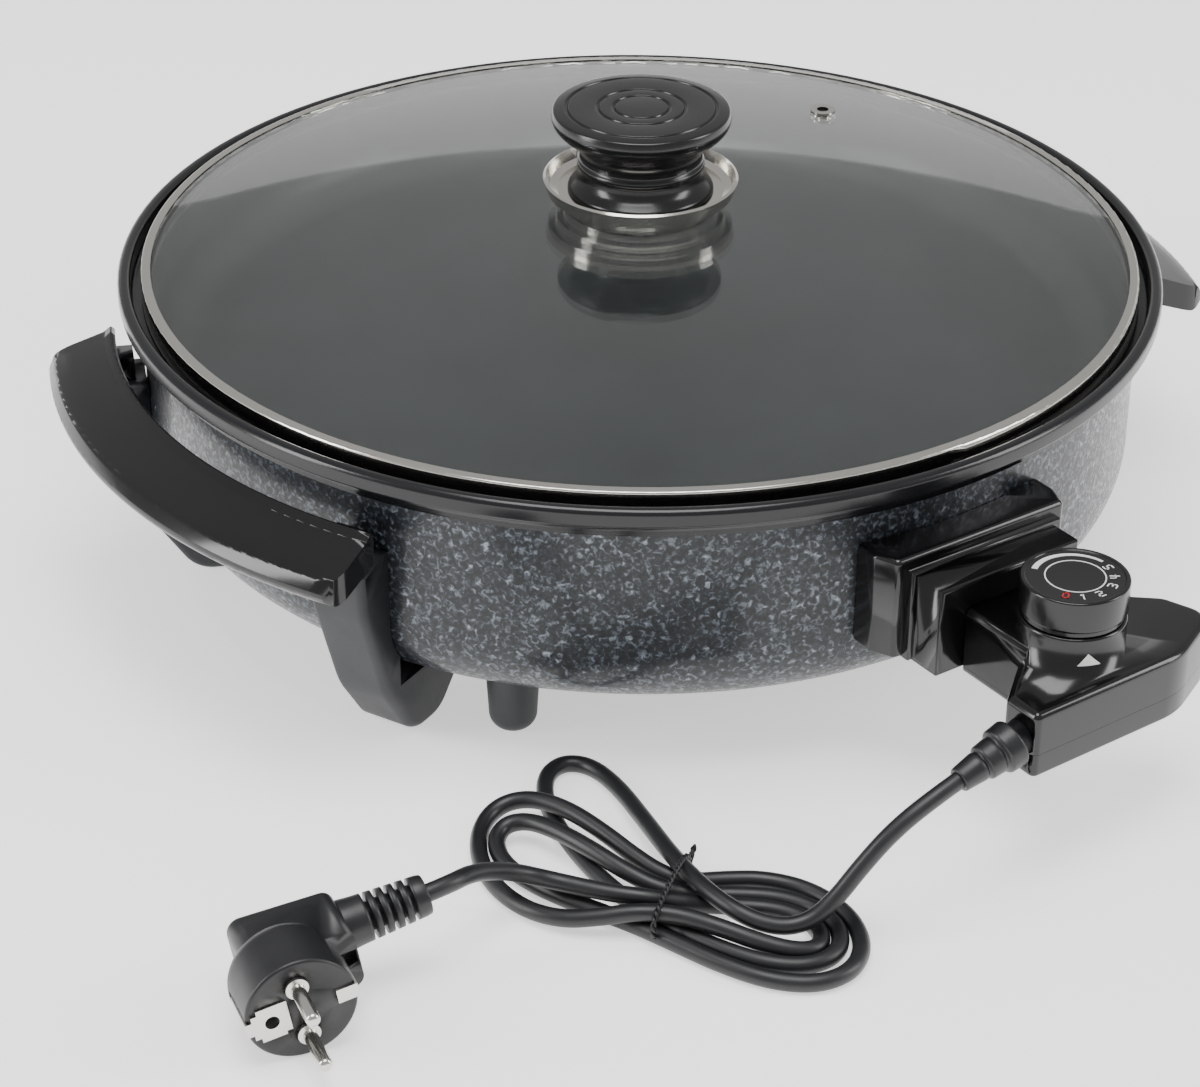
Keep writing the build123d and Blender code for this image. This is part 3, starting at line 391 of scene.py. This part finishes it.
dialSet = {"low": 84.4, "top": 98.0, "radius": 18.75, "centre": (0.0, -252.0), "recess": 0.35}


def makeDial():
    low, top, r = dialSet["low"], dialSet["top"], dialSet["radius"]
    face = top - dialSet["recess"]
    corners = [(3.05, low), (r - 0.9, low), (r - 0.9, low + 1.6), (r, low + 2.2), (r, top), (r - 1.6, top),
               (r - 1.9, face), (0.02, face), (0.02, low + 9.2), (3.05, low + 9.2)]
    rounds = [0, 0.2, 0.2, 0.6, 0.9, 0.3, 0.1, 0, 0, 0]
    turnedPiece("temperatureDial", roundedProfile(corners, rounds), dialSet["centre"], phenolicPolished,
                "dial", "temperature_dial", 45)


makeDial()

# printed marks on the dial and its pointer: thin plates that follow the face

marksSet = {
    "height": 0.12, "digitRadius": 13.2, "digitTall": 3.0, "digitWide": 1.9, "stroke": 0.5,
    "digits": [("0", -146), ("1", -121), ("2", -93), ("3", -62), ("4", -36), ("5", -8)],
    "arcFrom": 8, "arcTo": 125, "ringRadius": 10.5, "ringWidth": 0.45,
}
digitStrokes = {  # lines between points of a 2 by 4 field
    "0": [[(0, 0), (2, 0), (2, 4), (0, 4), (0, 0)]],
    "1": [[(0.4, 3.2), (1.2, 4), (1.2, 0)]],
    "2": [[(0, 4), (2, 4), (2, 2), (0, 2), (0, 0), (2, 0)]],
    "3": [[(0, 4), (2, 4), (2, 2), (0.6, 2)], [(2, 2), (2, 0), (0, 0)]],
    "4": [[(0, 4), (0, 1.6), (2, 1.6)], [(1.5, 4), (1.5, 0)]],
    "5": [[(2, 4), (0, 4), (0, 2.2), (2, 2.2), (2, 0), (0, 0)]],
}


def bandPlates(inner, outer, angleFrom, angleTo, steps, z, height):
    # a flat band about the dial's axis: radius between inner and outer, both arrays along the angle
    a = np.radians(np.linspace(angleFrom, angleTo, steps))
    cx, cy = dialSet["centre"]
    section = [(outer, z), (outer, z + height), (inner, z + height), (inner, z)]
    rings = [np.stack([cx + r * np.cos(a), cy + r * np.sin(a), np.full(steps, h)], -1) for r, h in section]
    points = np.stack(rings, 1).reshape(-1, 3)
    ends = np.array([[0, 1, 2, 3], [4 * steps - 1, 4 * steps - 2, 4 * steps - 3, 4 * steps - 4]])
    return points, np.vstack([gridFaces(steps, 4, False, True), ends])


def strokePlates(start, end, width, z, height):
    # a bar between two points of the face: four corners at two heights
    start, end = np.array(start, float), np.array(end, float)
    along = (end - start) / np.linalg.norm(end - start)
    side = np.array([-along[1], along[0]]) * width / 2
    start, end = start - along * width / 2, end + along * width / 2
    flat = np.array([start - side, end - side, end + side, start + side])
    points = np.vstack([np.column_stack([flat, np.full(4, h)]) for h in (z, z + height)])
    faces = np.array([[0, 3, 2, 1], [4, 5, 6, 7], [0, 1, 5, 4], [1, 2, 6, 5], [2, 3, 7, 6], [3, 0, 4, 7]])
    return points, faces


def joinPlates(name, plates, material, body):
    points, faces, count = [], [], 0
    for somePoints, someFaces in plates:
        points.append(somePoints)
        faces.append(someFaces + count)
        count += len(somePoints)
    piece = addMesh(name, np.vstack(points) * mm, np.vstack(faces), material, body)
    closeUp(piece, 30)
    return piece


def digitPlates(digit, degrees):
    face = dialSet["top"] - dialSet["recess"] - 0.02
    outward = np.array([math.cos(math.radians(degrees)), math.sin(math.radians(degrees))])
    across = np.array([outward[1], -outward[0]])  # digits are read from outside, their feet to the rim
    scale = np.array([marksSet["digitWide"] / 2, marksSet["digitTall"] / 4])
    middle = np.array(dialSet["centre"]) + outward * marksSet["digitRadius"]
    plates = []
    for line in digitStrokes[digit]:
        flat = (np.array(line) - (1, 2)) * scale
        spots = middle + flat[:, :1] * -across - flat[:, 1:] * outward
        for start, end in zip(spots, spots[1:]):
            plates.append(strokePlates(start, end, marksSet["stroke"], face, marksSet["height"]))
    return plates


def makeDialMarks():
    face = dialSet["top"] - dialSet["recess"] - 0.02
    tall = marksSet["height"]
    around = 96
    ringPoints = bandPlates(marksSet["ringRadius"] - marksSet["ringWidth"], marksSet["ringRadius"],
                            0, 360 - 360 / around, around, face, tall)[0]
    ring = (ringPoints, gridFaces(around, 4, True, True))
    steps = 48
    share = np.linspace(0, 1, steps)
    wedge = bandPlates(13.9 - 0.25 - 0.55 * share, 14.4 + 0.25 + 0.55 * share, marksSet["arcFrom"],
                       marksSet["arcTo"], steps, face, tall)
    white = [ring, wedge]
    red = []
    for digit, degrees in marksSet["digits"]:
        (red if digit == "0" else white).extend(digitPlates(digit, degrees))
    joinPlates("dialMarksWhite", white, whiteInk, "dial")
    joinPlates("dialMarksRed", red, redInk, "dial")


makeDialMarks()


def makePointer():
    # white triangle on the collar's side: apex up, at a radius just over the collar's
    cx, cy = dialSet["centre"]
    rows, columns = 9, 17
    up = np.linspace(0, 1, rows)[:, None]
    across = np.linspace(-1, 1, columns)[None, :]
    angle = np.radians(-112 + across * 13 * (1 - up) * 0.98 - 2 * up)
    z = 73.8 + 4.6 * up + 0 * across
    shells = []
    for r in (dialSet["radius"] + 0.07, dialSet["radius"] - 0.05):
        shells.append(np.stack([cx + r * np.cos(angle), cy + r * np.sin(angle), z], -1).reshape(-1, 3))
    count = rows * columns
    faces = gridFaces(rows, columns)
    edge = np.concatenate([np.arange(columns), np.arange(1, rows) * columns + columns - 1,
                           (rows - 1) * columns + np.arange(columns - 2, -1, -1),
                           np.arange(rows - 2, 0, -1) * columns])
    nextEdge = np.roll(edge, -1)
    sides = np.stack([edge, nextEdge, nextEdge + count, edge + count], -1)
    faces = np.vstack([faces, faces[:, ::-1] + count, sides])
    piece = addMesh("collarPointer", np.vstack(shells) * mm, faces, whiteInk, "control")
    closeUp(piece, 40)


makePointer()
print("knob, dial and marks made")

# twisted tie: two wires wound round each other, round the strands of the hank, with short tails

tieSet = {"centre": (-145.7, -223.4), "across": (0.799, 0.602), "wire": 1.1, "pitch": 5.0,
          "spanLow": -18.2, "spanHigh": 20.4, "top": 13.7, "power": 2.6, "tails": (8.0, 6.0),
          "rows": 700, "sides": 8}


def tieCentreLine(count=360):
    # superellipse |s/a|^n + |z/b|^n = 1 in the upright plane across the strands
    half = (tieSet["spanHigh"] - tieSet["spanLow"]) / 2 + 0.9
    mid = (tieSet["spanHigh"] + tieSet["spanLow"]) / 2
    low = tieSet["wire"] + 0.05
    rise = (tieSet["top"] + 0.8 - low) / 2
    a = np.linspace(-0.15, 2 * np.pi - 0.35, count)
    c, d = np.cos(a), np.sin(a)
    s = mid + half * np.sign(c) * np.abs(c) ** (2 / tieSet["power"])
    z = low + rise + rise * np.sign(d) * np.abs(d) ** (2 / tieSet["power"])
    return s, z


def makeTie():
    s, z = tieCentreLine()
    tail = np.linspace(0, 1, 40)[1:]
    long, short = tieSet["tails"]
    s = np.concatenate([s[0] + long * tail[::-1] * 0.9, s, s[-1] + short * tail * 0.8])
    z = np.concatenate([z[0] + long * tail[::-1] * 0.45, z, z[-1] + short * tail * 0.7])
    line = np.column_stack([s, z])
    step = np.linalg.norm(np.diff(line, axis=0), axis=1)
    run = np.concatenate([[0], np.cumsum(step)])
    rows, sides = tieSet["rows"], tieSet["sides"]
    even = np.linspace(0, run[-1], rows)
    s, z = np.interp(even, run, s), np.interp(even, run, z)
    ds, dz = np.gradient(s), np.gradient(z)
    size = np.hypot(ds, dz)
    outS, outZ = -dz / size, ds / size
    tx, ty = tieSet["across"]
    cx, cy = tieSet["centre"]
    wires = []
    for phase in (0, math.pi):
        # each wire's middle circles the centre line at its own phase, once in every pitch
        turn = even / tieSet["pitch"] * 2 * np.pi + phase
        side = tieSet["wire"] / 2 * np.sin(turn)
        off = tieSet["wire"] / 2 * np.cos(turn)
        ws, wz = s + outS * off, z + outZ * off
        middle = np.column_stack([cx + tx * ws - ty * side, cy + ty * ws + tx * side, wz])
        along = np.gradient(middle, axis=0)
        along /= np.linalg.norm(along, axis=1, keepdims=True)
        flatOut = np.tile((-ty, tx, 0.0), (rows, 1))
        first = np.cross(along, flatOut)
        first /= np.linalg.norm(first, axis=1, keepdims=True)
        second = np.cross(along, first)
        a = np.arange(sides) / sides * 2 * np.pi
        circle = first[:, None] * np.cos(a)[None, :, None] + second[:, None] * np.sin(a)[None, :, None]
        tube = middle[:, None] + circle * tieSet["wire"] / 2
        points = np.vstack([tube.reshape(-1, 3), middle[:1], middle[-1:]])
        faces = gridFaces(rows, sides, False, True)
        tip = rows * sides
        ring = np.arange(sides)
        nextRing = (ring + 1) % sides
        last = tip - sides
        caps = np.vstack([np.stack([nextRing, ring, np.full(sides, tip)], -1),
                          np.stack([ring + last, nextRing + last, np.full(sides, tip + 1)], -1)])
        wires.append((points, faces, caps))
    points = np.vstack([wires[0][0], wires[1][0]])
    count = len(wires[0][0])
    quads = np.vstack([wires[0][1], wires[1][1] + count])
    caps = np.vstack([wires[0][2], wires[1][2] + count])
    mesh = bpy.data.meshes.new("twistedTie")
    mesh.from_pydata((points * mm).tolist(), [], quads.tolist() + caps.tolist())
    piece = bpy.data.objects.new("twistedTie", mesh)
    bpy.context.scene.collection.objects.link(piece)
    paint(piece, tieVinyl)
    closeUp(piece, 60)
    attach(piece, "control")
    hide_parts("cord_tie")


makeTie()
print("tie wound")

# mains cord: one spline from the boot to the plug, with all the turns of the tied hank

cordSet = {"diameter": 6.2, "length": 1.19}
cordRoute = [
    (-63, -270.3, 49.6), (-77.2, -270.3, 45.5), (-89.5, -268.3, 37.6), (-99.5, -266, 26.9),
    (-108, -264.5, 17), (-116.1, -263, 10.8), (-124.3, -259.6, 8.8), (-131.5, -252.6, 9.8),
    (-135.8, -241.8, 11.5), (-136.1, -226.5, 11.6), (-132.3, -205.7, 9.3), (-125.1, -179.9, 6.1),
    (-119, -154.8, 3.8), (-119.1, -138.4, 3.1), (-126.5, -131.4, 3.1), (-137.3, -135.8, 3.1),
    (-146.3, -151.1, 3.1), (-152.4, -173.5, 3.1), (-155.2, -197.9, 3.1), (-153.9, -219.3, 3.1),
    (-149.5, -237.2, 3.1), (-143.7, -253.2, 3.1), (-136, -266.8, 3.1), (-125.6, -274.8, 3.1),
    (-114.3, -274.5, 3.1), (-106.2, -265.9, 3.2), (-104.8, -252.7, 3.2), (-111, -239.7, 3.2),
    (-122.2, -230, 3.1), (-134.2, -222.5, 3.4), (-143.4, -214, 4.9), (-149.3, -202.2, 7.6),
    (-153.3, -187.3, 9.7), (-156.6, -172.1, 9.7), (-160.4, -160.4, 8.4), (-166.8, -155.5, 6.5),
    (-173.9, -159.6, 4.5), (-177.5, -170.4, 3.3), (-176, -184.8, 3.1), (-171.1, -199.6, 3.1),
    (-165.1, -212.8, 3.1), (-159.8, -225.4, 3.1), (-155, -240.2, 3.1), (-149.5, -257.2, 3.1),
    (-141.3, -273.6, 3.1), (-129.4, -283.9, 3.1), (-115.4, -284.4, 3.1), (-103.4, -274.6, 3.1),
    (-97.9, -258.2, 3.1), (-100.7, -241, 3.2), (-109.4, -228.1, 3.2), (-120.4, -220.7, 3.1),
    (-130, -215.7, 3.1), (-136.4, -208.1, 3.7), (-140, -196, 5.6), (-142.7, -180.4, 8.2),
    (-146.4, -163.8, 9.8), (-152.2, -150.1, 8.8), (-161.1, -144.1, 6.2), (-172.2, -148.3, 4),
    (-182.1, -161.3, 3.1), (-187.2, -178.8, 3.1), (-186.2, -196, 3.4), (-180.1, -209.3, 4.7),
    (-171, -218.1, 7.2), (-161, -225.2, 9.6), (-151.3, -234.2, 10.1), (-142.4, -246.5, 8.6),
    (-133.9, -259.3, 6.2), (-125.3, -267.7, 4.3), (-117.4, -268.7, 3.3), (-112, -262.7, 3.1),
    (-111.5, -253.1, 3.1), (-116.3, -243.7, 3.1), (-125.6, -235.4, 3.2), (-136.3, -229.8, 4.9),
    (-146.3, -225.6, 8), (-155.2, -220.3, 10.2), (-163.4, -211.7, 10.3), (-171.3, -200.8, 10.4),
    (-178.6, -193.9, 12.1), (-187.2, -191.4, 16.4), (-197.1, -192.9, 21.9), (-207.5, -195.9, 26.7),
    (-217.6, -200.3, 29.6), (-226.2, -199, 28.4),
]


def makeCord():
    data = bpy.data.curves.new("mainsCord", "CURVE")
    data.dimensions = "3D"
    spline = data.splines.new("NURBS")
    spline.points.add(len(cordRoute) - 1)
    points = np.ones((len(cordRoute), 4), np.float32)
    points[:, :3] = np.array(cordRoute) * mm
    spline.points.foreach_set("co", points.ravel())
    spline.order_u = 3
    spline.use_endpoint_u = True
    spline.resolution_u = 12
    data.bevel_depth = cordSet["diameter"] / 2 * mm
    data.bevel_resolution = 6
    data.use_fill_caps = True
    piece = bpy.data.objects.new("mainsCord", data)
    bpy.context.scene.collection.objects.link(piece)
    piece.data.materials.append(softPvc)
    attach(piece, "control")
    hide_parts("cord_drop", "cord_hank", "cord_lead")
    return piece


mainsCord = makeCord()
print("cord laid")

# camera and studio

cameraSet = {
    "place": (-0.68735, -0.94916, 0.68071),
    "right": (0.81915, -0.57354, 0.00601),
    "up": (0.28785, 0.42014, 0.86060),
    "ahead": (0.49611, 0.70323, -0.50925),
    "lens": 100.788,
}


def makeCamera():
    data = bpy.data.cameras.new("studioCamera")
    data.sensor_fit = "HORIZONTAL"
    data.sensor_width = 36.0
    data.lens = cameraSet["lens"]
    data.clip_end = 20
    camera = bpy.data.objects.new("studioCamera", data)
    bpy.context.scene.collection.objects.link(camera)
    back = -Vector(cameraSet["ahead"])
    turn = Matrix((cameraSet["right"], cameraSet["up"], back)).transposed()
    camera.matrix_world = Matrix.Translation(cameraSet["place"]) @ turn.to_4x4()
    bpy.context.scene.camera = camera


studioSet = {
    "floor": "f4f4f3", "floorSize": 6.0, "floorGlow": 0.95,
    "lights": [  # name, place, target, width, height, watts
        ("topBox", (-0.3, -0.3, 1.9), (0.0, 0.0, 0.1), 1.2, 1.2, 30.0),
        ("backWall", (1.3, 1.8, 0.42), (0.0, 0.0, 0.15), 3.2, 0.7, 3.5),
        ("leftStrip", (-1.6, 0.5, 0.7), (0.0, 0.0, 0.08), 0.5, 1.2, 18.0),
        ("rightStrip", (1.3, -1.2, 0.9), (0.0, -0.1, 0.08), 0.6, 1.2, 16.0),
    ],
    "sky": "ffffff", "skyStrength": 0.5,
}


def makeStudio():
    size = studioSet["floorSize"]
    corners = np.array([(-1, -1), (1, -1), (1, 1), (-1, 1)]) * size / 2
    mesh = bpy.data.meshes.new("studioFloor")
    mesh.from_pydata([(x, y, 0.0) for x, y in corners.tolist()], [], [(0, 1, 2, 3)])
    floor = bpy.data.objects.new("studioFloor", mesh)
    bpy.context.scene.collection.objects.link(floor)
    material, tree, shader, place = startMaterial("palePaper", {
        "Base Color": srgb(studioSet["floor"]), "Roughness": 0.85,
        "Emission Color": srgb(studioSet["floor"]), "Emission Strength": studioSet["floorGlow"]})
    floor.data.materials.append(material)
    for name, place, target, width, height, watts in studioSet["lights"]:
        data = bpy.data.lights.new(name, "AREA")
        data.shape = "RECTANGLE"
        data.size = width
        data.size_y = height
        data.energy = watts
        light = bpy.data.objects.new(name, data)
        bpy.context.scene.collection.objects.link(light)
        aim = Vector(target) - Vector(place)
        light.matrix_world = Matrix.Translation(place) @ aim.to_track_quat("-Z", "Y").to_matrix().to_4x4()
    world = bpy.data.worlds.new("paleStudio")
    world.use_nodes = True
    sky = world.node_tree.nodes["Background"]
    sky.inputs["Color"].default_value = srgb(studioSet["sky"])
    sky.inputs["Strength"].default_value = studioSet["skyStrength"]
    bpy.context.scene.world = world


makeCamera()
makeStudio()
print("studio ready")
